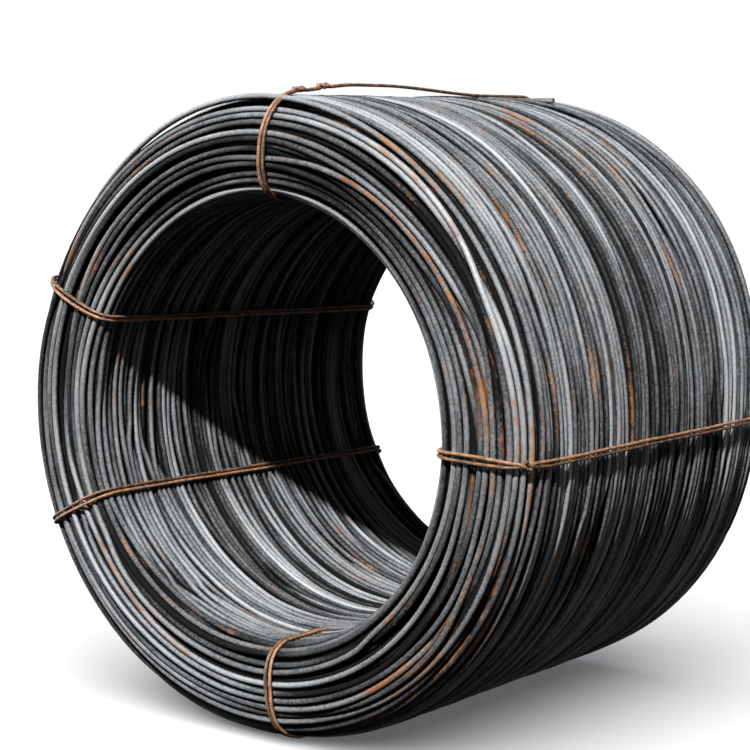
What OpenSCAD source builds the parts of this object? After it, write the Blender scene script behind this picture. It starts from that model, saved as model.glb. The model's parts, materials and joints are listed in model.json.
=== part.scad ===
// Coil of hot-rolled wire rod, lying on its side and held by five wire ties.
// The coil's axis is the Y axis and the origin is the middle of its bore.
// Clock angles are read from the near end (the -Y end), anticlockwise from +X.

/* [Coil] */
// Outside diameter over the turns
coil_od = 1250; // [1050:5:1450]
// Diameter of the bore, over the crests of the innermost turns
bore_d = 850; // [700:5:950]
// Length of the coil along its axis, over the turns
coil_len = 940; // [500:10:1400]
// Radius that the outer edge of each end is rounded to
outer_round = 80; // [60:1:100]
// Radius that the bore's edge at each end is rounded to
bore_round = 50; // [40:1:60]

/* [Rod] */
// Diameter of the rod that the coil is wound from
rod_d = 12; // [8:0.5:14]
// Spacing of the turns that show on each end
turn_pitch = 13.4; // [13:0.1:18]

/* [Loose end] */
// Clock angle at which the rod's last turn springs away from the coil
tail_angle = 90; // [70:1:90]
// Distance of the loose end from the coil's mid-length, towards the far end
tail_offset = 330; // [-150:5:350]
// Length of the sprung end
tail_len = 165; // [120:5:250]

/* [Ties] */
// Diameter of the tie wire
tie_d = 6.5; // [4:0.5:8]
// Spacing of a tie's two strands, centre to centre
strand_gap = 13; // [11:0.5:16]
// Height that the strands stand out of the bore's wall
bore_proud = 1.5; // [0.5:0.1:1.8]
// Height that the top tie is bowed up between its ends
top_bow = 17; // [5:1:30]
// Radius that the ties turn over the bore's edge at
tie_bore_bend = 52; // [45:1:60]
// Radius that the right tie turns over the outer edge at
right_bend = 40; // [25:1:60]
// Diameter of a twisted knot
knot_d = 12; // [11:0.5:15]
// Length of a twisted knot
knot_len = 30; // [15:1:45]

/* [Tie places] */
// Clock angle of the top tie
top_angle = 86; // [75:1:88]
// Clock angle of the upper left tie
upper_left_angle = 158; // [140:1:170]
// Slant of the upper left tie, its near end lower in clock angle
upper_left_slant = 2.5; // [-3:0.1:3]
// Clock angle of the lower left tie
lower_left_angle = 205; // [190:1:225]
// Slant of the lower left tie
lower_left_slant = 1.2; // [-3:0.1:3]
// Clock angle of the bottom tie, which the coil lies on
bottom_angle = 275; // [265:1:280]
// Clock angle of the right tie
right_angle = 357; // [340:1:365]

/* [Hidden] */
$fn = 64;

coil_r = coil_od / 2;
bore_r = bore_d / 2;
half_len = coil_len / 2;
rod_r = rod_d / 2;
tie_r = tie_d / 2;

seat_gap = 0.3;                    // running gap between a tie and the turns it lies on
tail_sunk = 1;                     // how far under the crests the loose end's own crest starts
crest_gap = 0.15;                  // keeps a tie's bed clear of turns that the tie only lies on
lie = seat_gap + tie_r;            // from the turns' crests up to the centreline of a strand
bed_w = strand_gap + tie_d + 2 * seat_gap;

// Centrelines of the strands: in the bore, across the ends, outside the coil and under it
strand_bore_r = bore_r - bore_proud + tie_r;
strand_out_r = coil_r + lie;
strand_under_r = coil_r - tie_r;
tie_outer_bend = outer_round + lie;
// Half the length of a tie's loop, in its own plane
function end_y(slant) = half_len / cos(slant) + lie;

// Places along the outside of a tie, from mid-length towards the near end
edge_knot_y = half_len - outer_round - knot_len / 2;
knot_spacing = 60;                 // between the top tie's two knots
top_knot_y = edge_knot_y - knot_spacing;
top_slack_y = -50;                 // where the top tie's bow starts to come down, past mid-length
kink_cut = 0.5;                    // how far a run stops short of a kink's centre
kink_rise = 0.15;                  // how much thicker than the wire a kink is

rod_color = [0.27, 0.28, 0.30];
tie_color = [0.55, 0.33, 0.20];

// ---- section of the coil: x is the radius, y runs along the axis ----

// A rectangle with one radius on its two inner corners and one on its two outer corners
module rounded_section(inner, outer, half, inner_round, outer_round) {
    translate([inner + inner_round, -half]) square([outer - inner - inner_round - outer_round, 2 * half]);
    translate([inner, inner_round - half]) square([inner_round, 2 * (half - inner_round)]);
    translate([outer - outer_round, outer_round - half]) square([outer_round, 2 * (half - outer_round)]);
    for (end = [-1, 1]) {
        translate([inner + inner_round, end * (half - inner_round)]) circle(inner_round);
        translate([outer - outer_round, end * (half - outer_round)]) circle(outer_round);
    }
}

// The line that the end turns' centres follow: round the outer edge, across the end, into the bore
outer_arc_r = outer_round - rod_r;
bore_arc_r = bore_round - rod_r;
outer_arc_len = PI / 2 * outer_arc_r;
bore_arc_len = PI / 2 * bore_arc_r;
flat_len = coil_r - bore_r - outer_round - bore_round;
end_path_len = outer_arc_len + flat_len + bore_arc_len;
end_turns = floor(end_path_len / turn_pitch);

// Radius and height of the point a length s along that line
function end_point(s) =
    s < outer_arc_len
        ? let (a = 90 * s / outer_arc_len)
          [coil_r - outer_round + outer_arc_r * cos(a), half_len - outer_round + outer_arc_r * sin(a)]
    : s < outer_arc_len + flat_len
        ? [coil_r - outer_round - (s - outer_arc_len), half_len - rod_r]
    : let (a = 90 * (s - outer_arc_len - flat_len) / bore_arc_len)
      [bore_r + bore_round - bore_arc_r * sin(a), half_len - bore_round + bore_arc_r * cos(a)];

module coil_section() {
    rounded_section(bore_r + rod_r, coil_r - rod_r, half_len - rod_r, bore_arc_r, outer_arc_r);
    translate([coil_r - outer_round, outer_round - half_len])
        square([outer_round, 2 * (half_len - outer_round)]);
    translate([bore_r, bore_round - half_len])
        square([bore_round, 2 * (half_len - bore_round)]);
    for (turn = [0 : end_turns - 1], end = [-1, 1])
        let (p = end_point((turn + 0.5) * end_path_len / end_turns))
            translate([p.x, end * p.y]) circle(rod_r);
}

// ---- a tie: two strands that loop through the bore and round the outside ----

// Puts a shape drawn in a section plane into the coil at a clock angle, slanted about its radius
module at_clock(angle, slant) {
    rotate([0, 0, angle]) rotate([90 + slant, 0, 0]) children();
}

module wire_run(from, to) {
    run = to - from;
    translate([from.x, from.y, 0])
        rotate([0, 0, atan2(run.y, run.x)])
            rotate([0, 90, 0])
                cylinder(r = tie_r, h = norm(run));
}

module wire_arc(centre, radius, start, sweep) {
    translate([centre.x, centre.y, 0])
        rotate([0, 0, start])
            rotate_extrude(angle = sweep) translate([radius, 0]) circle(tie_r);
}

// The outer run passes through these points, [radius, y]. A round kink closes it where it bends, and
// a straight run has none and is laid from its middle.
module outer_run(points) {
    middle = (points[0] + points[len(points) - 1]) / 2;
    if (len(points) == 2)
        for (end = points) wire_run(middle, end);
    else {
        for (i = [1 : len(points) - 1]) {
            step = (points[i] - points[i - 1]) * kink_cut / norm(points[i] - points[i - 1]);
            wire_run(points[i - 1] + step, points[i] - step);
        }
        for (p = points) translate([p.x, p.y, 0]) sphere(tie_r + kink_rise);
    }
}

module strand(slant, out_r, bend, bow_points) {
    edge = [out_r - bend, end_y(slant) - bend];
    bore_edge = [strand_bore_r + tie_bore_bend, end_y(slant) - tie_bore_bend];
    for (end = [0, 1]) mirror([0, end, 0]) {
        wire_arc(edge, bend, 0, 90);
        wire_run([bore_edge.x, end_y(slant)], [edge.x, end_y(slant)]);
        wire_arc(bore_edge, tie_bore_bend, 90, 90);
        wire_run([strand_bore_r, 0], [strand_bore_r, bore_edge.y]);
    }
    outer_run(concat([[out_r, edge.y]], bow_points, [[out_r, -edge.y]]));
}

// A knot lies between the two strands and stands a little prouder than they do
module knot(r, y) {
    translate([r + knot_d / 2 - tie_r, y - knot_len / 2, 0])
        rotate([-90, 0, 0]) cylinder(d = knot_d, h = knot_len);
}

module knot_across_end(end) {
    translate([(bore_r + coil_r - knot_len) / 2, end * (end_y(0) + knot_d / 2 - tie_r), 0])
        rotate([0, 90, 0]) cylinder(d = knot_d, h = knot_len);
}

module tie(angle, slant = 0, out_r = strand_out_r, bend = tie_outer_bend, bow_points = []) {
    color(tie_color) rotate([90, 0, 0]) at_clock(angle, slant) {
        for (side = [-1, 1]) translate([0, 0, side * strand_gap / 2])
            strand(slant, out_r, bend, bow_points);
        children();
    }
}

// The bed that a tie is pulled into: all that lies outside the loop it makes, within its width
module tie_bed(angle, slant = 0, out_r = strand_out_r, bend = tie_outer_bend) {
    room = 2 * tie_d;
    at_clock(angle, slant) linear_extrude(bed_w, center = true) difference() {
        translate([bore_r - room, -half_len - room])
            square([coil_r - bore_r + 2 * room, coil_len + 2 * room]);
        rounded_section(strand_bore_r + lie, out_r - lie + crest_gap, end_y(slant) - lie + crest_gap,
                        tie_bore_bend - lie, bend - lie);
    }
}

// ---- the rod ----

// The last turn springs straight off the coil, from just under the crests beside it
module loose_end() {
    translate([0, 0, -tail_offset]) rotate([0, 0, tail_angle])
        translate([coil_r - rod_r - tail_sunk, 0, 0])
            rotate([90, 0, 0]) cylinder(r = rod_r, h = tail_len);
}

module rod_coil() {
    color(rod_color) rotate([90, 0, 0]) {
        difference() {
            rotate_extrude() coil_section();
            tie_bed(top_angle);
            tie_bed(upper_left_angle, upper_left_slant);
            tie_bed(lower_left_angle, lower_left_slant);
            tie_bed(bottom_angle, out_r = strand_under_r);
            tie_bed(right_angle);
        }
        loose_end();
    }
}

module tie_top() {
    peak = [strand_out_r + top_bow, top_knot_y];
    tie(top_angle, bow_points = [peak, [peak.x, top_slack_y]]) {
        knot(strand_out_r, edge_knot_y);
        knot(peak.x, peak.y);
    }
}

module tie_upper_left() tie(upper_left_angle, upper_left_slant) knot(strand_out_r, edge_knot_y);
module tie_lower_left() tie(lower_left_angle, lower_left_slant) knot(strand_out_r, edge_knot_y);
module tie_bottom() tie(bottom_angle, out_r = strand_under_r) knot_across_end(-1);
module tie_right() tie(right_angle, bend = right_bend) knot(strand_out_r, edge_knot_y);

rod_coil();
tie_top();
tie_upper_left();
tie_lower_left();
tie_bottom();
tie_right();
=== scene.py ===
"""Coil of wire rod: the turns that show, the tie wires, their finish, a floor, lights and a camera.

A place on the coil is given by two numbers: the clock angle round the axis, from +X towards +Z,
and s, the distance along the line that the outermost rods' centres follow round the coil's
section. That line starts on the outside at mid-length and runs to the near (-Y) end, across it,
back along the bore, across the far end and back. depth is how far a rod's centre lies under that
line. A grid holds a value for each clock angle (its rows) and each turn (its columns).
"""
import json
import math
from collections import namedtuple

import bpy
import numpy as np
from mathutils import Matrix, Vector


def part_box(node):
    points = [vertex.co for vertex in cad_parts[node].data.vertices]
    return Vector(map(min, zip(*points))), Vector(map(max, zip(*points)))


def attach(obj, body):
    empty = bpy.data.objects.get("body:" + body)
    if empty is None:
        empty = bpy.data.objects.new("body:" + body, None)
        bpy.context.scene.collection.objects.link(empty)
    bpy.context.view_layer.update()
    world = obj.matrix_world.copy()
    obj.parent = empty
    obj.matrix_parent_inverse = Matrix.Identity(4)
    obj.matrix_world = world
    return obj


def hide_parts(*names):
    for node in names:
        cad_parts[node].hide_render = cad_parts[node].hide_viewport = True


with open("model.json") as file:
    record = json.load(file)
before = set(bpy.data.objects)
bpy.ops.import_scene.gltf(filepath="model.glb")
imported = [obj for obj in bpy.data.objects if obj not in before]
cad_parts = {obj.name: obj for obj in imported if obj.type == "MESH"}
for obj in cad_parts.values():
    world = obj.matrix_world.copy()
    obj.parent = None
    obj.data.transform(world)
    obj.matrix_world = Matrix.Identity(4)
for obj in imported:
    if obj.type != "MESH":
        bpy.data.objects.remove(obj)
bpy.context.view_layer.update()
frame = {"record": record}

MM = 0.001                               # lengths are in metres unless a comment says mm
TAU = 2 * math.pi

# ---- the camera: the photographed view ----

AZIMUTH, ELEVATION = 37.45, 6.6
DISTANCE = 4.345
LENS, SENSOR = 100.3, 36.0
AIM_RIGHT, AIM_UP = -0.047, 0.0506       # where the view's middle lies from the coil's centre


def make_camera():
    a, e = math.radians(AZIMUTH), math.radians(ELEVATION)
    back = Vector((math.sin(a) * math.cos(e), -math.cos(a) * math.cos(e), math.sin(e)))
    right = Vector((math.cos(a), math.sin(a), 0))
    data = bpy.data.cameras.new("camera")
    data.lens, data.sensor_width = LENS, SENSOR
    camera = bpy.data.objects.new("camera", data)
    camera.location = AIM_RIGHT * right + AIM_UP * back.cross(right) + DISTANCE * back
    camera.rotation_mode = "QUATERNION"
    camera.rotation_quaternion = (-back).to_track_quat("-Z", "Y")
    bpy.context.scene.collection.objects.link(camera)
    bpy.context.scene.camera = camera


make_camera()

# ---- sizes, from the frame where it holds them ----

coil_low, coil_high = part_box("rod_coil")
COIL_R = coil_high.x
HALF_LEN = coil_high.y
BORE_R = frame["record"]["mounts"][0]["dims"]["r_mm"] * MM
FLOOR_Z = coil_low.z

ROD_R = 6 * MM
TIE_R = 3.25 * MM
STRAND_SPREAD = 6.5 * MM                 # half the spacing of a tie's two strands
TIE_LIE = 0.3 * MM + TIE_R               # strand centres above the crests
TIE_BORE_SINK = 1.75 * MM                # strand centres under the crests in the bore
TIE_UNDER_SINK = 3.25 * MM               # and under the coil, where it lies on its own turns

# ---- the section's line, at each clock angle ----

STEPS = 112                              # places along one turn
LINE_POINTS = 640                        # places along the section's line
CORNER_POINTS = 40
START = math.radians(357)                # the turns are counted from under the right tie
CLOCK = START + TAU * np.arange(STEPS) / STEPS

# How far the coil is out of round on its outside, in each quarter from clock angle 0 on
NEAR_SWELL = (3 * MM, -5 * MM, 9 * MM, 0.0)
FAR_SWELL = (27 * MM, 6 * MM, 0.0, 4 * MM)
SWELL_FADE = 1.4                         # how fast it fades from a quarter's middle to its ends

# How far each of the section's corners reaches along the radius and along y
NEAR_OUTER = {"upright": (92 * MM, 84 * MM), "left": (136 * MM, 46 * MM),
              "right": (36 * MM, 100 * MM)}
NEAR_INNER = {"upright": (74 * MM, 58 * MM), "level": (42 * MM, 30 * MM)}
FAR_OUTER = (80 * MM, 78 * MM)
FAR_INNER = (50 * MM, 46 * MM)


def wrapped(angle):
    """The same angle, between minus and plus half a turn."""
    return (angle + math.pi) % TAU - math.pi


def smooth(low, high, x):
    """0 up to low, 1 from high on, and smoothly between."""
    t = np.clip((x - low) / (high - low), 0, 1)
    return t * t * (3 - 2 * t)


def bore_and_outside(normal_r, start):
    """How much a place faces into the bore, and how much outwards: 0 where less than start."""
    return smooth(start, 1.0, -normal_r), smooth(start, 1.0, normal_r)


def swell(clock, y):
    """How far the outside stands out of round there."""
    quarter = int(clock % TAU / (math.pi / 2))
    far = np.clip(y / HALF_LEN / 2 + 0.5, 0, 1)
    amount = NEAR_SWELL[quarter] * (1 - far) + FAR_SWELL[quarter] * far
    return amount * abs(math.sin(2 * clock)) ** SWELL_FADE


def blended(sizes, shares):
    """The two sizes of a corner whose shape is shared between several."""
    return [sum(sizes[key][i] * share for key, share in shares.items()) for i in (0, 1)]


def section_line(clock):
    """Radius, y and outward normal along the outermost rods' centre line, and its length."""
    upright = math.sin(clock) ** 2
    left, right = max(-math.cos(clock), 0) ** 2, max(math.cos(clock), 0) ** 2
    near_outer = blended(NEAR_OUTER, {"upright": upright, "left": left, "right": right})
    near_inner = blended(NEAR_INNER, {"upright": upright, "level": left + right})
    out_r, in_r, half = COIL_R - ROD_R, BORE_R + ROD_R, HALF_LEN - ROD_R
    turn = np.linspace(0, math.pi / 2, CORNER_POINTS)
    c, s = np.cos(turn), np.sin(turn)
    corners = [
        (out_r - near_outer[0] * (1 - c), -half + near_outer[1] * (1 - s)),
        (in_r + near_inner[0] * (1 - s), -half + near_inner[1] * (1 - c)),
        (in_r + FAR_INNER[0] * (1 - c), half - FAR_INNER[1] * (1 - s)),
        (out_r - FAR_OUTER[0] * (1 - s), half - FAR_OUTER[1] * (1 - c)),
    ]
    r = np.concatenate([[out_r], *[corner[0] for corner in corners], [out_r]])
    y = np.concatenate([[0], *[corner[1] for corner in corners], [0]])
    r = r + swell(clock, y) * (r - in_r) / (out_r - in_r)
    length = np.concatenate([[0], np.cumsum(np.hypot(np.diff(r), np.diff(y)))])
    even = np.linspace(0, length[-1], LINE_POINTS, endpoint=False)
    r, y = np.interp(even, length, r), np.interp(even, length, y)
    tangent_r = np.roll(r, -2) - np.roll(r, 2)
    tangent_y = np.roll(y, -2) - np.roll(y, 2)
    size = np.hypot(tangent_r, tangent_y)
    return r, y, -tangent_y / size, tangent_r / size, length[-1]


lines = [section_line(clock) for clock in CLOCK]
LINE = np.array([[line[i] for line in lines] for i in range(4)])    # what, clock, place
GIRTH = float(np.mean([line[4] for line in lines]))
LINE_S = np.arange(LINE_POINTS) / LINE_POINTS * GIRTH


def look_up(table, s):
    """The values of a table (STEPS, LINE_POINTS) at a grid of s."""
    place = (s / GIRTH) % 1 * LINE_POINTS
    low = np.floor(place).astype(int) % LINE_POINTS
    part = place - np.floor(place)
    here = np.take_along_axis(table, low, 1)
    after = np.take_along_axis(table, (low + 1) % LINE_POINTS, 1)
    return here * (1 - part) + after * part


SETTLED = 3 * MM                         # how far the lowest turns sag, down to the floor
SETTLED_HALF = math.radians(9)
LOWEST = math.radians(270)


def points_at(s, depth):
    """World points of a grid of places."""
    r, y, normal_r, normal_y = (look_up(table, s) for table in LINE)
    r, y = r - depth * normal_r, y - depth * normal_y
    clock = CLOCK[:, None]
    sag = np.exp(-(wrapped(clock - LOWEST) / SETTLED_HALF) ** 2)
    r = r + SETTLED * np.clip(normal_r, 0, 1) * sag
    x = np.maximum(r * np.cos(clock), coil_low.x + ROD_R)
    z = np.maximum(r * np.sin(clock), coil_low.z + ROD_R)
    return np.stack([x, y, z], -1)


# ---- where the ties run ----

TIES = {   # name: clock angle and slant, both in degrees
    "tie_top": (86.0, 0.0),
    "tie_upper_left": (158.0, 2.5),
    "tie_lower_left": (205.0, 1.2),
    "tie_bottom": (275.0, 0.0),
    "tie_right": (357.4, -0.5),
}
BURIED = 10 * MM                         # how far the bottom tie dips under the turns in the bore
BURIED_FROM, BURIED_FULL = 0.31, 0.26    # either side of mid-length


def buried(y):
    """1 where turns lie over the bottom tie in the bore, and 0 near both ends."""
    return (smooth(-BURIED_FROM, -BURIED_FULL, y)
            * (1 - smooth(BURIED_FULL, BURIED_FROM, y)))


# ---- how deep the crests lie: bunched turns, and beds under the ties ----

rng = np.random.default_rng(41)

RELIEF_WAVES = 60
RELIEF_ACROSS, RELIEF_ALONG = (9, 46), (0, 7)        # waves round the section, and the coil
RELIEF_MEAN, RELIEF_MOST = 1.6, 9                    # mm
RELIEF_SPREAD, RELIEF_SPREAD_ON_ENDS = 1.5, 1.3      # mm, and how much more across the ends

END_FULL, END_FROM = 0.75, 0.98          # an end's places face outwards or inwards less

BED_HALF, BOTTOM_BED_HALF = 52 * MM, 34 * MM         # half the width of a tie's bed
BED_DEPTH = 0.4                                      # mm
BORE_BED_DEPTH, UNDER_BED_DEPTH = 5.6, 7.6           # mm more in the bore, and under the coil
BED_START = 0.4                          # how much a place faces inwards or outwards there

VALLEYS = [   # clock angle, s, half lengths along the turns (degrees) and across them, depth
    (72, 0.575, 34, 0.016, 13 * MM),
    (118, 0.590, 26, 0.012, 11 * MM),
    (148, 0.470, 20, 0.010, 10 * MM),
    (170, 0.540, 30, 0.009, 11 * MM),
    (300, 0.520, 30, 0.011, 12 * MM),
    (325, 0.455, 26, 0.010, 12 * MM),
    (20, 0.530, 22, 0.008, 10 * MM),
    (40, 0.470, 24, 0.007, 9 * MM),
]


def waves(count, across, along):
    """Smooth noise (STEPS, LINE_POINTS) that closes on itself both ways round."""
    place = np.arange(LINE_POINTS) / LINE_POINTS * TAU
    total = np.zeros((STEPS, LINE_POINTS))
    for _ in range(count):
        around_section, around_coil = rng.integers(*across), rng.integers(*along)
        total += np.cos(around_section * place + around_coil * CLOCK[:, None]
                        + rng.uniform(0, TAU))
    return total


def make_relief():
    """How deep the crests lie under the section's line, (STEPS, LINE_POINTS)."""
    total = waves(RELIEF_WAVES, RELIEF_ACROSS, RELIEF_ALONG)
    r, y, normal_r, _ = LINE
    on_ends = 1 - smooth(END_FULL, END_FROM, abs(normal_r))
    spread = RELIEF_SPREAD + RELIEF_SPREAD_ON_ENDS * on_ends
    relief = np.clip(RELIEF_MEAN + total / total.std() * spread, 0, RELIEF_MOST) * MM
    for clock, s, half_clock, half_s, deep in VALLEYS:
        along = wrapped(CLOCK[:, None] - math.radians(clock)) / math.radians(half_clock)
        across = (LINE_S - s)[None] / half_s
        relief = np.maximum(relief, deep * np.exp(-along ** 2 - across ** 4))
    in_bore, outside = bore_and_outside(normal_r, BED_START)
    for name, (clock, slant) in TIES.items():
        shift = y * math.tan(math.radians(slant))
        away = wrapped(CLOCK[:, None] - math.radians(clock)) * r - shift
        bed = BED_DEPTH + BORE_BED_DEPTH * in_bore
        half = BED_HALF
        if name == "tie_bottom":
            bed = bed + (UNDER_BED_DEPTH * outside - BORE_BED_DEPTH * in_bore * buried(y))
            half = BOTTOM_BED_HALF
        relief += (bed * MM - relief) * np.exp(-(away / half) ** 2)
    return relief


RELIEF = make_relief()

# ---- how far apart turns lie side by side: hard together in some patches ----

ROOM_WAVES = 40
ROOM_ACROSS, ROOM_ALONG = (3, 16), (0, 5)
ROOM_MEAN, ROOM_SPREAD, ROOM_LEAST, ROOM_MOST = 0.7, 0.8, 0.05, 2.2      # mm

LANES = 230                              # long narrow gaps between bunches of turns
LANE_HALF = 7 * MM
LANE_HALF_LENGTH = (25, 80)              # degrees along the turns
LANE_DRIFT = 0.03                        # how far a lane's ends may lie from its middle's s
LANE_WIDTH = (5, 13)                     # mm


def make_room():
    """How much further apart than they are thick turns lie there, (STEPS, LINE_POINTS)."""
    total = waves(ROOM_WAVES, ROOM_ACROSS, ROOM_ALONG)
    room = np.clip(ROOM_MEAN + ROOM_SPREAD * total / total.std(), ROOM_LEAST, ROOM_MOST) * MM
    for _ in range(LANES):
        middle, half = rng.uniform(0, GIRTH), math.radians(rng.uniform(*LANE_HALF_LENGTH))
        away = wrapped(CLOCK - rng.uniform(0, TAU)) / half
        lane = middle + rng.uniform(-LANE_DRIFT, LANE_DRIFT) * away
        wide = rng.uniform(*LANE_WIDTH) * MM
        off = (LINE_S[None] - lane[:, None] + GIRTH / 2) % GIRTH - GIRTH / 2
        room = np.maximum(room, wide * np.exp(-(off / LANE_HALF) ** 4 - away[:, None] ** 4))
    return room


ROOM = make_room()

# ---- the turns: chains that wind once round the section, layer on layer ----

Layer = namedtuple("Layer", "name turns depth wander sides")
LAYERS = [
    Layer("turns", 141, 0.0, 8.0 * MM, 8),
    Layer("second", 130, 12.0 * MM, 8.0 * MM, 8),
    Layer("third", 124, 23.5 * MM, 7.0 * MM, 6),
]
WANDER_CYCLES, DEPTH_CYCLES = (0.35, 2.2), (0.3, 2)      # a turn
DEPTH_WANDER = 1.5 * MM
NOISE_WAVES = 260

NEAR_END, BORE, FAR_END, FAR_OUTSIDE = 0.38, 0.66, 1.50, 1.76     # where these start, by s
CLOSENESS = [   # where each stretch ends, and how close its turns lie
    (NEAR_END, 1.0), (BORE, 0.88), (FAR_END, 1.02), (FAR_OUTSIDE, 0.93), (GIRTH, 1.0),
]

LIFTS = [   # clock angle, s, half length (degrees), height: turns that spring off the coil
    (103, 0.43, 28, 19 * MM),
    (112, 0.50, 26, 6 * MM),
    (60, 0.36, 22, 4 * MM),
    (75, 2.02, 26, 5 * MM),
    (68, 1.87, 22, 7 * MM),
    (106, 1.790, 17, 14 * MM),
    (107, 1.815, 17, 14 * MM),
    (106, 1.835, 17, 12 * MM),
    (105, 1.880, 17, 11 * MM),
    (106, 1.915, 17, 8 * MM),
    (40, 0.30, 25, 3 * MM),
    (140, 0.25, 30, 4 * MM),
    (305, 0.45, 24, 4 * MM),
    (215, 0.52, 22, 4 * MM),
    (235, 1.85, 24, 5 * MM),
]

# The loose end: it comes up from under the outer turns and leaves the coil at its top, straight on
TAIL_Y = 0.330
TAIL_LEN = 0.165
TAIL_TOP = math.radians(90)
TAIL_ARC = math.radians(100)
TAIL_LEVEL = 0.35                        # the share of its arc over which it lies level
TAIL_SUNK = 1 * MM
TAIL_DEEP = 24 * MM
NOWHERE = 1.0                            # a depth that no turn touches

# How the turns settle
ROD_GAP = 2.01 * ROD_R                   # between the centres of rods that touch
NEIGHBOURS = 7                           # how many places along s a rod is compared with
PUSH = 0.45                              # the share of an overlap that each of two rods gives way
NEVER_ZERO = 1e-9
EASE, LAST_EASE = 0.25, 0.1
WANDER_PULL, DEPTH_PULL = 0.03, 0.12     # towards the place that a turn would take by itself
SETTLING_STEPS, SETTLING_PASSES = 130, 2
PARTING_PASSES = 12
FINISHING_STEPS, FINISHING_PASSES = 14, 4


def spread_out(share):
    """s after a share of a chain's turns: they lie closer in some stretches than in others."""
    ends = np.array([0] + [end for end, _ in CLOSENESS])
    stretches = np.diff(ends) * [close for _, close in CLOSENESS]
    turns = np.concatenate([[0], np.cumsum(stretches)])
    return np.interp(share * turns[-1], turns, ends)


def make_lifts(base):
    """How far each of a layer's turns is raised, as a grid."""
    lift = np.zeros_like(base)
    for clock, s, half, height in LIFTS:
        away = wrapped(CLOCK - math.radians(clock)) / math.radians(half)
        turn = np.argmin(abs(base[np.argmin(abs(away))] - s))
        lift[:, turn] += height * np.exp(-away ** 2)
    return lift


def chain_noise(turns, slow, fast):
    """Noise of unit spread along a chain that closes on itself. slow and fast: cycles a turn."""
    k = np.arange(turns * STEPS) / (turns * STEPS) * TAU
    drawn = rng.integers(max(1, round(slow * turns)), round(fast * turns), NOISE_WAVES)
    total = np.zeros(len(k))
    for cycle in np.unique(drawn):
        total += np.cos(cycle * k + rng.uniform(0, TAU)) / math.sqrt(cycle)
    return total / total.std()


def as_grid(chain):
    """The grid of values given in order along the rod."""
    return chain.reshape(-1, STEPS).T


def as_chain(grid):
    """A grid's values, or its points, in order along the rod."""
    return np.swapaxes(grid, 0, 1).reshape(-1, *grid.shape[2:])


def eased(grid, amount, passes=1):
    """Each layer's values drawn towards the mean of their neighbours along the rod."""
    done, first = [], 0
    for layer in LAYERS:
        chain = as_chain(grid[:, first:first + layer.turns])
        for _ in range(passes):
            chain = chain + amount * (np.roll(chain, 1) + np.roll(chain, -1) - 2 * chain)
        done.append(as_grid(chain))
        first += layer.turns
    return np.concatenate(done, 1)


def push_apart(s, depth, fixed_s, fixed_depth):
    """One pass that moves overlapping rods away from each other, and off a fixed one."""
    turns = s.shape[1]
    s, depth = np.append(s, fixed_s, 1), np.append(depth, fixed_depth, 1)
    place = s % GIRTH
    order = np.argsort(place, 1)
    ss, dd = np.take_along_axis(place, order, 1), np.take_along_axis(depth, order, 1)
    room = look_up(ROOM, ss)
    move_s, move_d = np.zeros_like(ss), np.zeros_like(dd)
    for hop in range(1, NEIGHBOURS + 1):
        gap_s = np.roll(ss, -hop, 1) - ss
        gap_s[:, -hop:] += GIRTH
        gap_d = np.roll(dd, -hop, 1) - dd
        apart = np.hypot(gap_s, gap_d) + NEVER_ZERO
        wanted = ROD_GAP + room * np.clip(1 - abs(gap_d) / ROD_R, 0, 1)
        push = np.clip(wanted - apart, 0, None) / apart * PUSH
        move_s += np.roll(gap_s * push, hop, 1) - gap_s * push
        move_d += np.roll(gap_d * push, hop, 1) - gap_d * push
    out_s, out_d = np.zeros_like(s), np.zeros_like(depth)
    np.put_along_axis(out_s, order, move_s, 1)
    np.put_along_axis(out_d, order, move_d, 1)
    return (s + out_s)[:, :turns], (depth + out_d)[:, :turns]


def tail_depth_at(clock):
    """How deep the loose end lies, at a clock angle between its top and where it goes under."""
    return TAIL_SUNK + TAIL_DEEP * smooth(TAIL_LEVEL, 1.0, (clock - TAIL_TOP) / TAIL_ARC)


def tail_places():
    """s and depth of the loose end, as grids of one turn."""
    behind = wrapped(CLOCK - TAIL_TOP)
    held = (behind > 0) & (behind < TAIL_ARC)
    depth = np.where(held, tail_depth_at(TAIL_TOP + behind), NOWHERE)
    return np.full((STEPS, 1), GIRTH - TAIL_Y), depth[:, None]


def make_turns():
    """Grids of s and depth for all the layers' turns, which lie on each other."""
    base, wander, goal = [], [], []
    for layer in LAYERS:
        turns = layer.turns
        base.append(as_grid(spread_out(np.arange(turns * STEPS) / (turns * STEPS))))
        wander.append(as_grid(chain_noise(turns, *WANDER_CYCLES) * layer.wander))
        goal.append(np.full((STEPS, turns), layer.depth)
                    + DEPTH_WANDER * as_grid(chain_noise(turns, *DEPTH_CYCLES)))
    lift = np.concatenate([make_lifts(base[0]), *(np.zeros_like(grid) for grid in base[1:])], 1)
    base, wander, goal = (np.concatenate(grids, 1) for grids in (base, wander, goal))
    goal = np.maximum(goal, 0)
    tail = tail_places()

    def parted(drift, depth, least=None):
        """One pass apart. least is the least depth at each place, or None to look it up anew."""
        s, depth = push_apart(base + drift, depth, *tail)
        if least is None:
            least = look_up(RELIEF, s) - lift
        return s - base, np.maximum(depth, least)

    drift, depth = wander, goal
    for _ in range(SETTLING_STEPS):
        least = look_up(RELIEF, base + drift) - lift
        drift = drift + WANDER_PULL * (wander - drift)
        depth = depth + DEPTH_PULL * (goal + least - depth)
        drift, depth = eased(drift, EASE, 2), eased(depth, EASE, 2)
        for _ in range(SETTLING_PASSES):
            drift, depth = parted(drift, depth, least)
    for _ in range(PARTING_PASSES):
        drift, depth = parted(drift, depth)
    for _ in range(FINISHING_STEPS):
        drift, depth = eased(drift, EASE), eased(depth, EASE)
        for _ in range(FINISHING_PASSES):
            drift, depth = parted(drift, depth)
    return base + eased(drift, LAST_EASE), eased(depth, LAST_EASE)


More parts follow.
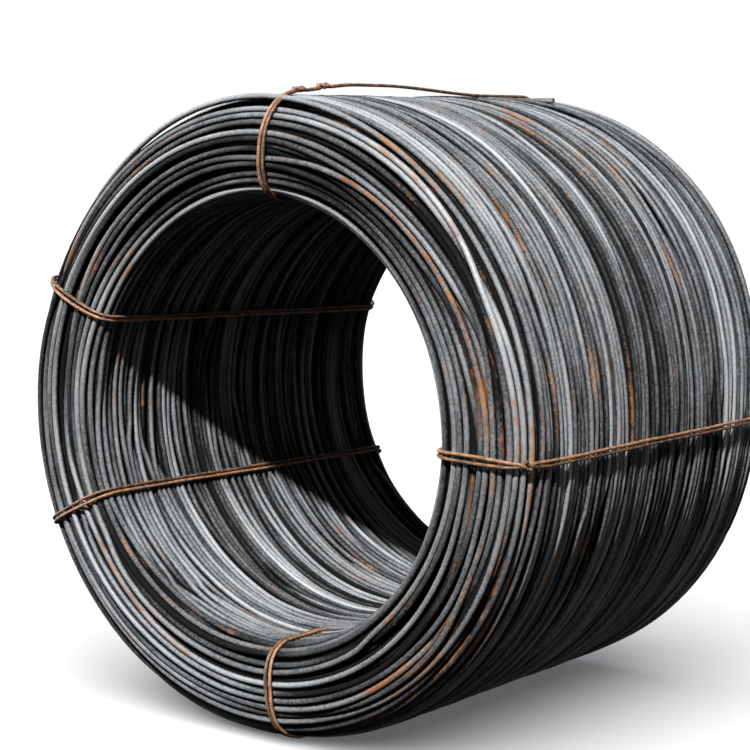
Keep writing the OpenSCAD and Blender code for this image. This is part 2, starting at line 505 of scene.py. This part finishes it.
# ---- meshes ----

def add_mesh(name, points, faces, smooth_faces, attributes, material):
    """faces is a list of (n, corners) index arrays; smooth_faces says which of them are smooth."""
    mesh = bpy.data.meshes.new(name)
    mesh.vertices.add(len(points))
    mesh.vertices.foreach_set("co", np.asarray(points, np.float32).ravel())
    loops = np.concatenate([f.ravel() for f in faces]).astype(np.int32)
    totals = np.concatenate([np.full(len(f), f.shape[1]) for f in faces]).astype(np.int32)
    starts = np.concatenate([[0], np.cumsum(totals)[:-1]]).astype(np.int32)
    flags = np.concatenate([np.full(len(f), flag) for f, flag in zip(faces, smooth_faces)])
    mesh.loops.add(len(loops))
    mesh.loops.foreach_set("vertex_index", loops)
    mesh.polygons.add(len(totals))
    mesh.polygons.foreach_set("loop_start", starts)
    mesh.polygons.foreach_set("loop_total", totals)
    mesh.update(calc_edges=True)
    mesh.polygons.foreach_set("use_smooth", flags)
    for key, values in attributes.items():
        made = mesh.attributes.new(key, "FLOAT", "POINT")
        made.data.foreach_set("value", np.asarray(values, np.float32))
    mesh.materials.append(material)
    mesh.validate()
    piece = bpy.data.objects.new(name, mesh)
    bpy.context.scene.collection.objects.link(piece)
    return piece


def side_faces(rings, sides, closed):
    """The quads between neighbouring rings of points, and from the last to the first if closed."""
    count = rings * sides
    first = np.arange(rings if closed else rings - 1)[:, None] * sides
    low = first + np.arange(sides)[None]
    turn = first + (np.arange(sides)[None] + 1) % sides
    return np.stack([low, turn, (turn + sides) % count, (low + sides) % count], -1).reshape(-1, 4)


def tube(points, radius, sides, closed, across=(0.0, 1.0, 0.0)):
    """Points, side faces and end faces of a round tube. across: any direction not along it."""
    if closed:
        along = np.roll(points, -1, 0) - np.roll(points, 1, 0)
    else:
        along = np.gradient(points, axis=0)
    along /= np.linalg.norm(along, axis=1)[:, None]
    across = np.broadcast_to(across, points.shape)
    first = across - (across * along).sum(1)[:, None] * along
    first /= np.linalg.norm(first, axis=1)[:, None]
    second = np.cross(along, first)
    angle = (np.arange(sides) / sides * TAU)[None, :, None]
    ring = np.cos(angle) * first[:, None] + np.sin(angle) * second[:, None]
    verts = (points[:, None] + radius * ring).reshape(-1, 3)
    quads = side_faces(len(points), sides, closed)
    if closed:
        return verts, quads, np.zeros((0, sides), int)
    caps = np.array([np.arange(sides)[::-1], np.arange(sides) + (len(points) - 1) * sides])
    return verts, quads, caps


def join_tubes(parts):
    """One set of points, side faces and end faces from several tubes of as many sides."""
    verts, quads, caps, first = [], [], [], 0
    for v, q, c in parts:
        verts.append(v)
        quads.append(q + first)
        caps.append(c + first)
        first += len(v)
    return np.concatenate(verts), np.concatenate(quads), np.concatenate(caps)


def length_along(points):
    """How far along a path each of its points is."""
    steps = np.linalg.norm(np.diff(points, axis=0), axis=1)
    return np.concatenate([[0], np.cumsum(steps)])


# ---- materials ----

def new_material(name):
    material = bpy.data.materials.new(name)
    material.use_nodes = True
    tree = material.node_tree
    shader = next(n for n in tree.nodes if n.type == "BSDF_PRINCIPLED")
    return material, tree, shader


def node(tree, kind, **settings):
    made = tree.nodes.new(kind)
    for key, value in settings.items():
        if key in made.inputs:
            made.inputs[key].default_value = value
        else:
            setattr(made, key, value)
    return made


def math_node(tree, operation, a, b=None, c=None, clamp=False):
    made = node(tree, "ShaderNodeMath", operation=operation, use_clamp=clamp)
    for socket, value in zip(made.inputs, (a, b, c)):
        if value is None:
            continue
        if isinstance(value, (int, float)):
            socket.default_value = value
        else:
            tree.links.new(value, socket)
    return made.outputs[0]


def plus(tree, total, *terms, clamp=False):
    """total plus value times weight for each of the terms. clamp holds the result in 0 to 1."""
    for i, (value, weight) in enumerate(terms):
        last = i == len(terms) - 1
        total = math_node(tree, "MULTIPLY_ADD", value, weight, total, clamp=clamp and last)
    return total


def times(tree, value, factor):
    return math_node(tree, "MULTIPLY", value, factor)


def noise(tree, vector, scale, detail, roughness=0.55):
    made = node(tree, "ShaderNodeTexNoise", Scale=scale, Detail=detail, Roughness=roughness)
    tree.links.new(vector, made.inputs["Vector"])
    return made.outputs["Fac"]


def ramp(tree, value, stops):
    made = node(tree, "ShaderNodeValToRGB")
    band = made.color_ramp
    while len(band.elements) < len(stops):
        band.elements.new(0.5)
    for element, (place, color) in zip(band.elements, stops):
        element.position = place
        element.color = (*color, 1)
    tree.links.new(value, made.inputs[0])
    return made.outputs[0]


def mixed(tree, amount, a, b):
    """Two colours mixed. Of the Mix node's sockets, these are the ones for colours."""
    made = node(tree, "ShaderNodeMix", data_type="RGBA")
    tree.links.new(amount, made.inputs[0])
    tree.links.new(a, made.inputs[6])
    tree.links.new(b, made.inputs[7])
    return made.outputs[2]


def attribute(tree, name):
    return node(tree, "ShaderNodeAttribute", attribute_name=name).outputs["Fac"]


def bumped(tree, shader, height, strength, distance):
    made = node(tree, "ShaderNodeBump", Strength=strength, Distance=distance)
    tree.links.new(height, made.inputs["Height"])
    tree.links.new(made.outputs[0], shader.inputs["Normal"])


SCALE_AND_PAINTED_SHADE_COLORS = [   # mill scale, by tone; the darkest stops are mostly reached through the painted shade of deep turns and flanks
    (0.22, (0.0018, 0.002, 0.0022)),
    (0.42, (0.030, 0.0320, 0.0345)),
    (0.62, (0.094, 0.099, 0.105)),
    (0.92, (0.190, 0.198, 0.206)),
]
RUST_COLORS = [
    (0.32, (0.030, 0.011, 0.004)),
    (0.50, (0.145, 0.058, 0.020)),
    (0.68, (0.270, 0.140, 0.060)),
]
WIRE_COLORS = [
    (0.40, (0.009, 0.0045, 0.0025)),
    (0.48, (0.056, 0.023, 0.009)),
    (0.56, (0.150, 0.066, 0.027)),
    (0.68, (0.230, 0.132, 0.074)),
]
PATCHES_A_METRE = 9.0                    # along the rod
TONE_SHIFT = 0.215
RUST_EDGE, RUST_START = 3.0, -4.55       # how sharp rust's edges are, and where it starts
RUST_COVER = 0.85                        # how much of the scale full rust hides
ROD_ROUGHNESS, WIRE_ROUGHNESS = 0.26, 0.5


def rod_finish():
    """Mill scale, patchy along the rod, with rust where the rust attribute is high."""
    material, tree, shader = new_material("rod_steel")
    place = node(tree, "ShaderNodeTexCoord").outputs["Object"]
    along = attribute(tree, "along")
    stretched = node(tree, "ShaderNodeCombineXYZ")
    tree.links.new(times(tree, along, PATCHES_A_METRE), stretched.inputs[0])
    patches = noise(tree, stretched.outputs[0], scale=1.0, detail=3.0)
    mottle = noise(tree, place, scale=190.0, detail=4.0, roughness=0.7)
    grain = noise(tree, place, scale=620.0, detail=2.0)
    # the shade attribute holds each turn's own tone and the painted shade of deep turns, flanks and
    # the backing
    tone = plus(tree, attribute(tree, "shade"), (patches, 0.45), (mottle, 0.65))
    tone = plus(tree, math_node(tree, "SUBTRACT", tone, TONE_SHIFT), (grain, 0.40))
    scale_and_shade_color = ramp(tree, tone, SCALE_AND_PAINTED_SHADE_COLORS)
    rust_color = ramp(tree, plus(tree, times(tree, patches, 0.5), (grain, 0.5)), RUST_COLORS)
    zone = noise(tree, place, scale=4.5, detail=2.0)
    fleck = noise(tree, place, scale=32.0, detail=3.0, roughness=0.6)
    rust = plus(tree, attribute(tree, "rust"), (zone, 0.9), (fleck, 0.9), (mottle, 0.7))
    rust = plus(tree, RUST_START, (rust, RUST_EDGE), clamp=True)
    rust = times(tree, rust, RUST_COVER)
    tree.links.new(mixed(tree, rust, scale_and_shade_color, rust_color), shader.inputs["Base Color"])
    rough = plus(tree, ROD_ROUGHNESS, (mottle, 0.45), (patches, 0.45))
    rough = plus(tree, rough, (attribute(tree, "shade"), -0.5), (rust, 0.4), clamp=True)
    tree.links.new(rough, shader.inputs["Roughness"])
    shader.inputs["Metallic"].default_value = 0.2
    shader.inputs["Specular IOR Level"].default_value = 0.10
    height = math_node(tree, "ADD", mottle, grain)
    bumped(tree, shader, height, strength=0.5, distance=0.4 * MM)
    return material


def tie_finish():
    """Soft iron wire, rusted all over, paler where the rust has been rubbed."""
    material, tree, shader = new_material("tie_wire")
    place = node(tree, "ShaderNodeTexCoord").outputs["Object"]
    patches = noise(tree, place, scale=60.0, detail=4.0, roughness=0.7)
    grain = noise(tree, place, scale=330.0, detail=3.0, roughness=0.7)
    tone = plus(tree, times(tree, patches, 0.45), (grain, 0.55))
    tone = math_node(tree, "ADD", tone, attribute(tree, "shade"))
    tree.links.new(ramp(tree, tone, WIRE_COLORS), shader.inputs["Base Color"])
    rough = plus(tree, WIRE_ROUGHNESS, (grain, 0.3))
    tree.links.new(rough, shader.inputs["Roughness"])
    bumped(tree, shader, grain, strength=0.5, distance=0.5 * MM)
    return material


ROD_FINISH = rod_finish()
TIE_FINISH = tie_finish()

# ---- the rod ----

RUST_ZONES = [   # clock angle, s, half lengths along the turns (degrees) and across them, rust
    (12, 0.535, 40, 0.018, 0.22),
    (14, 0.528, 34, 0.008, 0.30),
    (25, 2.150, 28, 0.010, 0.36),
    (18, 1.920, 12, 0.012, 0.34),
    (10, 1.845, 18, 0.010, 0.34),
    (330, 0.300, 20, 0.010, 0.30),
    (350, 0.470, 30, 0.050, 0.18),
    (310, 0.490, 28, 0.030, 0.24),
    (302, 0.500, 26, 0.009, 0.46),
    (300, 0.432, 32, 0.009, 0.54),
    (288, 0.375, 30, 0.007, 0.44),
    (335, 0.415, 24, 0.009, 0.48),
    (80, 0.510, 16, 0.012, 0.34),
    (175, 0.680, 16, 0.010, 0.30),
    (225, 0.560, 30, 0.030, 0.09),
    (60, 0.330, 40, 0.035, 0.12),
    (255, 1.300, 25, 0.050, 0.14),
    (20, 2.050, 40, 0.080, 0.08),
]
TONE_AND_PAINTED_LIGHT_ZONES = [   # clock angle, s, the same half lengths, and how much paler the turns are made there: partly the scale's own tone, partly painted light and shade on regions lit brighter and dimmer
    (5, 0.500, 45, 0.080, 0.10),
    # painted fill light: the lower right of the outside, in the key sun's shade, made paler
    (318, 0.150, 30, 0.250, 0.12),
    (318, 2.000, 30, 0.200, 0.12),
    (5, 2.000, 28, 0.150, -0.06),
    (185, 0.520, 50, 0.070, -0.12),
    (190, 0.438, 50, 0.016, 0.30),
    (225, 1.000, 40, 0.350, 0.05),
]
SHADE_SPREAD, SHADE_CYCLES = 0.15, (0.42, 3)         # how turns' tone varies, cycles a turn
RUST_SPREAD, RUST_CYCLES = 0.13, (0.4, 30)
RUST_GROUND = 0.10                       # rust that is everywhere, before it keeps to one side
RUST_LEAN = 0.36                         # how much a turn's rust keeps to one side of it
RUSTY_SIDE = (0.2, 1.0)                  # how much a place faces that side: none, full rust
LEAN_SPREAD, LEAN_CYCLES = 0.9, (0.05, 0.8)          # which side that is, in radians
FLANK_PAINTED_SHADE = 0.38                       # painted shade: how much darker a turn's sides are than its crest, where the turns shade each other
FLANK = (-0.3, 0.6)                      # how much a place faces outwards: full painted shade, none
DEEP_PAINTED_SHADE = 0.042                       # painted shade: how much darker a turn is for each mm it lies deep
DEEP_SHADE_FROM, DEEP_SHADE_OVER = 3, 12           # mm: how deep that starts, and over how much depth

BACKING_DEPTH = 36 * MM
BACKING_EVERY = 8                        # how many places along the section's line it skips
# painted shade: the backing is near-black, as the shade among the deeper turns
BACKING_PAINTED_SHADE = -0.5

TAIL_STEPS, TAIL_FREE_STEPS, TAIL_SIDES = 60, 11, 12
TAIL_SHADE, TAIL_RUST = 0.05, 0.15
TAIL_RUST_FROM = 0.96                    # its rust is at its cut end: from this share of its length


def tint(turns, s):
    """shade and rust along a chain of turns."""
    shade = as_grid(SHADE_SPREAD * chain_noise(turns, *SHADE_CYCLES))
    rust = as_grid(RUST_SPREAD * chain_noise(turns, *RUST_CYCLES))
    for values, zones in ((shade, TONE_AND_PAINTED_LIGHT_ZONES), (rust, RUST_ZONES)):
        for clock, place, half_clock, half_s, more in zones:
            along = wrapped(CLOCK[:, None] - math.radians(clock)) / math.radians(half_clock)
            values += more * np.exp(-along ** 2 - ((s % GIRTH - place) / half_s) ** 2)
    return as_chain(shade), as_chain(rust)


def directions(s):
    """Along a chain of turns: outwards from the coil, and across the turns."""
    normal_r, normal_y = (look_up(table, s) for table in LINE[2:])
    c, z = np.cos(CLOCK[:, None]), np.sin(CLOCK[:, None])
    outward = np.stack([normal_r * c, normal_y, normal_r * z], -1)
    aside = np.stack([-normal_y * c, normal_r, -normal_y * z], -1)
    return as_chain(outward), as_chain(aside)


def parts_of(prefix):
    """The stretches of s that each piece of a layer holds."""
    ends = {"outside_near": NEAR_END, "near_end": BORE, "bore": FAR_END,
            "far_end": FAR_OUTSIDE, "outside_far": GIRTH}
    starts = [0, *list(ends.values())[:-1]]
    return {f"{prefix}_{place}": (start, end)
            for start, (place, end) in zip(starts, ends.items())}


def add_chain(layer, s, depth):
    """A layer's turns, cut into a piece for each stretch of s. They meet under the right tie."""
    turns, sides = layer.turns, layer.sides
    points = as_chain(points_at(s, depth))
    shade, rust = tint(turns, s)
    outward, aside = directions(s)
    lean = LEAN_SPREAD * chain_noise(turns, *LEAN_CYCLES)
    rusty_side = np.cos(lean)[:, None] * outward + np.sin(lean)[:, None] * aside
    # painted shade: turns that lie deep are darkened, as the crevices between turns are shaded
    shade = shade - np.clip(as_chain(depth) / MM - DEEP_SHADE_FROM, 0, DEEP_SHADE_OVER) * DEEP_PAINTED_SHADE
    along = length_along(points)
    starts = spread_out(np.arange(turns + 1) / turns)
    pieces = []
    for name, (low, high) in parts_of(layer.name).items():
        first, last = np.searchsorted(starts, [low, high])
        index = np.arange(first * STEPS, min(last, turns) * STEPS + 1) % len(points)
        verts, quads, caps = tube(points[index], ROD_R, sides, False)
        from_centre = verts - np.repeat(points[index], sides, 0)

        def facing(direction):
            return (from_centre * np.repeat(direction[index], sides, 0)).sum(1) / ROD_R

        marks = {key: np.repeat(value[index], sides)
                 for key, value in (("shade", shade), ("rust", rust), ("along", along))}
        # painted shade on each turn's flanks, which face the shaded crevices between turns
        marks["shade"] -= FLANK_PAINTED_SHADE * (1 - smooth(*FLANK, facing(outward)))
        marks["rust"] -= RUST_LEAN * (1 - smooth(*RUSTY_SIDE, facing(rusty_side))) - RUST_GROUND
        pieces.append(add_mesh(name, verts, [quads, caps], [True, False], marks, ROD_FINISH))
    return pieces


def add_backing():
    """What lies under the modelled turns: a closed ring painted near-black as their shade, so that
    no light shows through.
    """
    r, y, normal_r, normal_y = LINE[:, :, ::BACKING_EVERY]
    r, y = r - BACKING_DEPTH * normal_r, y - BACKING_DEPTH * normal_y
    points = np.stack([r * np.cos(CLOCK[:, None]), y, r * np.sin(CLOCK[:, None])], -1)
    quads = side_faces(*r.shape, closed=True)
    marks = {"shade": np.full(r.size, BACKING_PAINTED_SHADE), "rust": np.zeros(r.size),
             "along": np.zeros(r.size)}
    return add_mesh("turns_deep", points.reshape(-1, 3), [quads], [True], marks, ROD_FINISH)


def add_loose_end():
    """The last turn: lying on the coil as it comes up, then straight off it."""
    clock = TAIL_TOP + TAIL_ARC * np.linspace(1, 0, TAIL_STEPS)
    r = COIL_R - ROD_R - tail_depth_at(clock)
    lying = np.stack([r * np.cos(clock), np.full(TAIL_STEPS, TAIL_Y), r * np.sin(clock)], 1)
    free = np.linspace(0, TAIL_LEN, TAIL_FREE_STEPS + 1)[1:]
    off = np.stack([free, np.full(TAIL_FREE_STEPS, TAIL_Y), np.full(TAIL_FREE_STEPS, r[-1])], 1)
    points = np.concatenate([lying, off])
    verts, quads, caps = tube(points, ROD_R, TAIL_SIDES, False)
    along = length_along(points)
    rust = TAIL_RUST * smooth(TAIL_RUST_FROM, 1.0, along / along[-1])
    marks = {"along": np.repeat(along, TAIL_SIDES), "shade": np.full(len(verts), TAIL_SHADE),
             "rust": np.repeat(rust, TAIL_SIDES)}
    return add_mesh("loose_end", verts, [quads, caps], [True, False], marks, ROD_FINISH)


def add_rod():
    s, depth = make_turns()
    pieces, first = [], 0
    for layer in LAYERS:
        columns = slice(first, first + layer.turns)
        pieces += add_chain(layer, s[:, columns], depth[:, columns])
        first += layer.turns
    return [*pieces, add_backing(), add_loose_end()]


for piece in add_rod():
    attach(piece, "root")
    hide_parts("rod_coil")

# ---- the ties ----

TIE_SIDES = 10
TIE_POINTS = 700
TIE_START = 0.5                          # as BED_START, for where ties sink and rise
TOP_BOW = 16 * MM
BOW_RISE, BOW_FALL = (-0.42, -0.20), (-0.12, 0.26)   # from which y to which it does each
KNOTS = {   # y of each knot on the outside, and how far its strands rise as they cross
    "tie_top": ([-0.372, -0.300], 3.2 * MM),
    "tie_upper_left": ([-0.385], 3.2 * MM),
    "tie_lower_left": ([-0.385], 3.2 * MM),
    "tie_bottom": ([], 0.0),
    "tie_right": ([-0.446], 2.0 * MM),
}
KNOT_HALF = 16 * MM
KNOT_REACH = 1.5                         # how many times its half length a knot draws them in
KNOT_PINCH, SIDE_PINCH = 0.35, 0.25      # how much closer the strands lie in a knot, off the ends
SPREAD_SHARE = 0.84                      # the strands' mean spacing, as a share of the most
SPREAD_WAVES = ((5, 0.10), (13, 0.06))   # how often it swells round a tie, and how much
STRAND_SHADES = {-1: -0.03, 1: 0.05}     # by which side of the pair a strand lies on

# A knot's two cut ends: how far each starts aside and bends aside, on, and stands proud
KNOT_END_POINTS, KNOT_END_TURN = 9, 1.35
END_START, END_ASIDE, END_ON, END_PROUD = 3 * MM, 6 * MM, 10 * MM, 1 * MM
Y_AXIS = np.array([0, 1, 0])


def tie_path(name):
    """Radius, y and outward normal along the centre line of a tie's pair."""
    line = section_line(math.radians(TIES[name][0]))[:4]
    place = np.linspace(0, LINE_POINTS, TIE_POINTS, endpoint=False)
    every = np.arange(LINE_POINTS + 1)
    r, y, normal_r, normal_y = (np.interp(place, every, np.append(v, v[0])) for v in line)
    in_bore, outside = bore_and_outside(normal_r, TIE_START)
    lift = ROD_R + TIE_LIE - in_bore * (TIE_LIE + TIE_BORE_SINK)
    if name == "tie_bottom":
        lift = lift - outside * (TIE_LIE + TIE_UNDER_SINK) - BURIED * in_bore * buried(y)
    if name == "tie_top":
        lift = lift + TOP_BOW * outside * smooth(*BOW_RISE, y) * (1 - smooth(*BOW_FALL, y))
    return r + lift * normal_r, y + lift * normal_y, normal_r, normal_y


def strand_spread(phase, side, near_knot, normal_r):
    """Half the strands' spacing, which wanders a little. phase is the tie's own."""
    k = np.arange(TIE_POINTS) / TIE_POINTS * TAU
    (slow, slow_size), (fast, fast_size) = SPREAD_WAVES
    spread = STRAND_SPREAD * (SPREAD_SHARE + slow_size * np.sin(slow * k + side + phase)
                              + fast_size * np.sin(fast * k + phase))
    return spread * ((1 - KNOT_PINCH * near_knot) * (1 - SIDE_PINCH * abs(normal_r)))


def knot_end(middle, out, sideways, side, rise):
    """The path of a knot's cut end, bent aside."""
    bend = np.linspace(0, KNOT_END_TURN, KNOT_END_POINTS)
    aside = side * (END_START + END_ASIDE * np.sin(bend))
    forward = -side * (END_ON * (1 - np.cos(bend)))
    return (middle + aside[:, None] * sideways + forward[:, None] * Y_AXIS
            + (rise + END_PROUD) * out)


def add_tie(name):
    clock, slant = TIES[name]
    r, y, normal_r, normal_y = tie_path(name)
    a = math.radians(clock)
    radial = np.array([math.cos(a), 0, math.sin(a)])
    sideways = np.array([-math.sin(a), 0, math.cos(a)])
    middle = (r[:, None] * radial + y[:, None] * Y_AXIS
              + (y * math.tan(math.radians(slant)))[:, None] * sideways)
    out = normal_r[:, None] * radial + normal_y[:, None] * Y_AXIS
    knots, rise = KNOTS[name]
    outside = normal_r > 0.5
    turned, near_knot = np.zeros(TIE_POINTS), np.zeros(TIE_POINTS)
    for knot in knots:
        through = np.clip((y - knot) / (2 * KNOT_HALF) + 0.5, 0, 1)
        away = (y - knot) / (KNOT_REACH * KNOT_HALF)
        turned += np.where(outside, TAU * through, 0)
        near_knot += np.where(outside, np.exp(-away ** 2), 0)
    tubes, shades = [], []
    for side, shade in STRAND_SHADES.items():
        spread = strand_spread(clock, side, near_knot, normal_r)
        height = rise * (abs(np.sin(turned)) + side * np.sin(turned))
        path = (middle + (side * spread * np.cos(turned))[:, None] * sideways
                + height[:, None] * out)
        tubes.append(tube(path, TIE_R, TIE_SIDES, True, sideways))
        shades.append(np.full(len(tubes[-1][0]), shade))
    for knot in knots:
        at = np.argmin(abs(y - knot) + np.where(outside, 0, 1))
        for side in STRAND_SHADES:
            path = knot_end(middle[at], out[at], sideways, side, rise)
            tubes.append(tube(path, TIE_R, TIE_SIDES, False, out[at]))
            shades.append(np.zeros(len(tubes[-1][0])))
    verts, quads, caps = join_tubes(tubes)
    marks = {"shade": np.concatenate(shades)}
    return add_mesh(f"{name}_wires", verts, [quads, caps], [True, False], marks, TIE_FINISH)


for name in TIES:
    piece = add_tie(name)
    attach(piece, "root")
    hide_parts(name)

# ---- floor and light ----

FLOOR_HALF = 300.0                       # so far that its edge doesn't show
FLOOR_SHADE, FLOOR_GLOW, FLOOR_ROUGHNESS = 0.80, 0.10, 0.9

WHITE = (1.0, 1.0, 1.0)
SUNS = [   # name, direction it shines from, strength, angle in degrees, colour
    ("key", (0.29, -0.80, 0.945), 15.8, 2.0, (1.0, 0.985, 0.965)),
    ("fill", (1.0, -0.1, -0.05), 0.7, 30.0, (1.0, 0.98, 0.95)),
    ("left", (-1.0, -0.15, 0.05), 4.0, 30.0, WHITE),
    ("behind", (-0.7, 0.9, 0.35), 1.5, 40.0, WHITE),
    ("overhead", (0.24, -0.62, 1.0), 5.4, 74.0, WHITE),      # this one lights only the floor
]
WORLD_COLORS = [   # by height, 0 straight down and 1 straight up: a white band at the horizon
    (0.484, (0.03, 0.03, 0.03)),
    (0.496, WHITE),
    (0.534, WHITE),
    (0.556, (0.075, 0.088, 0.108)),
]


def add_floor():
    mesh = bpy.data.meshes.new("floor")
    far = FLOOR_HALF
    corners = [(-far, -far, FLOOR_Z), (far, -far, FLOOR_Z), (far, far, FLOOR_Z),
               (-far, far, FLOOR_Z)]
    mesh.from_pydata(corners, [], [(0, 1, 2, 3)])
    material, _, shader = new_material("floor")
    shader.inputs["Base Color"].default_value = (FLOOR_SHADE, FLOOR_SHADE, FLOOR_SHADE, 1)
    shader.inputs["Emission Color"].default_value = (*WHITE, 1)
    shader.inputs["Emission Strength"].default_value = FLOOR_GLOW
    shader.inputs["Roughness"].default_value = FLOOR_ROUGHNESS
    mesh.materials.append(material)
    floor = bpy.data.objects.new("floor", mesh)
    bpy.context.scene.collection.objects.link(floor)
    floor.visible_diffuse = floor.visible_glossy = False     # it throws no light on the coil
    return floor


def add_sun(name, direction, strength, angle, color, lit):
    """A sun that lights only the objects in lit."""
    data = bpy.data.lights.new(name, "SUN")
    data.energy, data.angle, data.color = strength, math.radians(angle), color
    lamp = bpy.data.objects.new(name, data)
    lamp.rotation_mode = "QUATERNION"
    lamp.rotation_quaternion = Vector(direction).to_track_quat("Z", "Y")
    bpy.context.scene.collection.objects.link(lamp)
    lamp.light_linking.receiver_collection = bpy.data.collections.new(f"lit_by_{name}")
    for thing in lit:
        lamp.light_linking.receiver_collection.objects.link(thing)


def add_world():
    world = bpy.data.worlds.new("studio")
    world.use_nodes = True
    tree = world.node_tree
    background = next(n for n in tree.nodes if n.type == "BACKGROUND")
    upward = node(tree, "ShaderNodeSeparateXYZ")
    place = node(tree, "ShaderNodeTexCoord").outputs["Generated"]
    tree.links.new(place, upward.inputs[0])
    height = math_node(tree, "MULTIPLY_ADD", upward.outputs[2], 0.5, 0.5)
    tree.links.new(ramp(tree, height, WORLD_COLORS), background.inputs["Color"])
    bpy.context.scene.world = world


floor = add_floor()
coil = [thing for thing in bpy.context.scene.objects if thing.type == "MESH" and thing != floor]
for name, *settings in SUNS:
    add_sun(name, *settings, lit=[floor] if name == "overhead" else coil)
add_world()
bpy.context.scene.view_settings.view_transform = "Standard"
